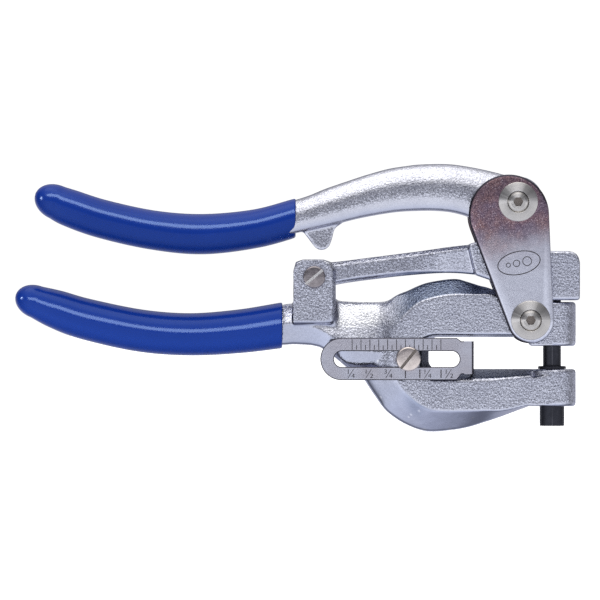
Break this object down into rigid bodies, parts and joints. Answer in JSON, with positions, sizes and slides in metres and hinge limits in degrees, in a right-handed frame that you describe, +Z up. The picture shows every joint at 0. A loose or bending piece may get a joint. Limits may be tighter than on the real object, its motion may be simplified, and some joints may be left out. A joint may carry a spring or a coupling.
{
  "type": "sheet metal hand punch",
  "caption": "Compound-lever hand punch for sheet metal: deep C-frame throat, punch over a threaded die, side links, sliding back gauge and dipped vinyl grips.",
  "frame": {"origin": "under the middle of the tool, at the level of the frame's belly", "axes": "+X from the grips to the jaws, +Y across the tool away from the gauge side, +Z up along the punch"},
  "size_m": [0.2036, 0.0298, 0.0964],
  "materials": {
    "plated_casting": "blasted and plated, fine pebble grain",
    "plated_handle": "blasted and plated, fine pebble grain",
    "plated_lever": "blasted and plated",
    "blue_vinyl": "glossy dipped vinyl",
    "satin_steel": "satin",
    "turned_steel": "bright turned",
    "ground_steel": "ground",
    "bronze": "turned bronze",
    "nickel_plate": "warm nickel plate",
    "scale_steel": "satin, engraved scale",
    "black_oxide": "black oxide"
  },
  "bodies": {
    "frame": {"frame_body": "plated_casting", "lower_grip": "blue_vinyl", "die": "black_oxide", "lever_pivot_screw": "nickel_plate", "lever_pivot_nut": "nickel_plate"},
    "links": {"side_plate_front": "satin_steel", "side_plate_rear": "satin_steel", "upper_link_screw": "turned_steel", "upper_link_nut": "turned_steel", "lower_link_screw": "turned_steel", "lower_link_nut": "turned_steel", "upper_washer_front": "ground_steel", "upper_washer_rear": "ground_steel", "lower_washer_front": "ground_steel", "lower_washer_rear": "ground_steel"},
    "handle": {"upper_handle": "plated_handle", "upper_grip": "blue_vinyl", "handle_bushing": "bronze"},
    "lever": {"punch_lever": "plated_lever", "knuckle_pin": "ground_steel"},
    "punch": {"punch": "black_oxide"},
    "gauge": {"gauge_plate": "scale_steel"},
    "clamp_screw": {"gauge_screw": "nickel_plate"}
  },
  "joints": [
    {"name": "handle_open", "type": "hinge", "parent": "links", "child": "handle", "pos_m": [0.0793, 0, 0.0825], "axis": [0, 1, 0], "range_deg": [-0.9, 19.2]},
    {"name": "link_swing", "type": "hinge", "parent": "frame", "child": "links", "pos_m": [0.0838, 0, 0.04], "axis": [0, 1, 0], "range_deg": [-0.45, 9.3]},
    {"name": "lever_swing", "type": "hinge", "parent": "frame", "child": "lever", "pos_m": [0.0062, 0, 0.0555], "axis": [0, 1, 0], "range_deg": [-4.92, 0.24]},
    {"name": "punch_stroke", "type": "slide", "parent": "frame", "child": "punch", "axis": [0, 0, 1], "range_m": [-0.00036, 0.00735]},
    {"name": "gauge_slide", "type": "slide", "parent": "frame", "child": "gauge", "axis": [1, 0, 0], "range_m": [-0.013, 0.023]},
    {"name": "clamp_turn", "type": "hinge", "parent": "frame", "child": "clamp_screw", "pos_m": [0.04, 0, 0.0261], "axis": [0, 1, 0], "range_deg": [-360, 360]}
  ],
  "couplings": [
    {"joint": "link_swing", "follows": "handle_open", "ratio": 0.4835},
    {"joint": "lever_swing", "follows": "handle_open", "ratio": -0.2549},
    {"joint": "punch_stroke", "follows": "handle_open", "m_per_rad": 0.02182}
  ]
}
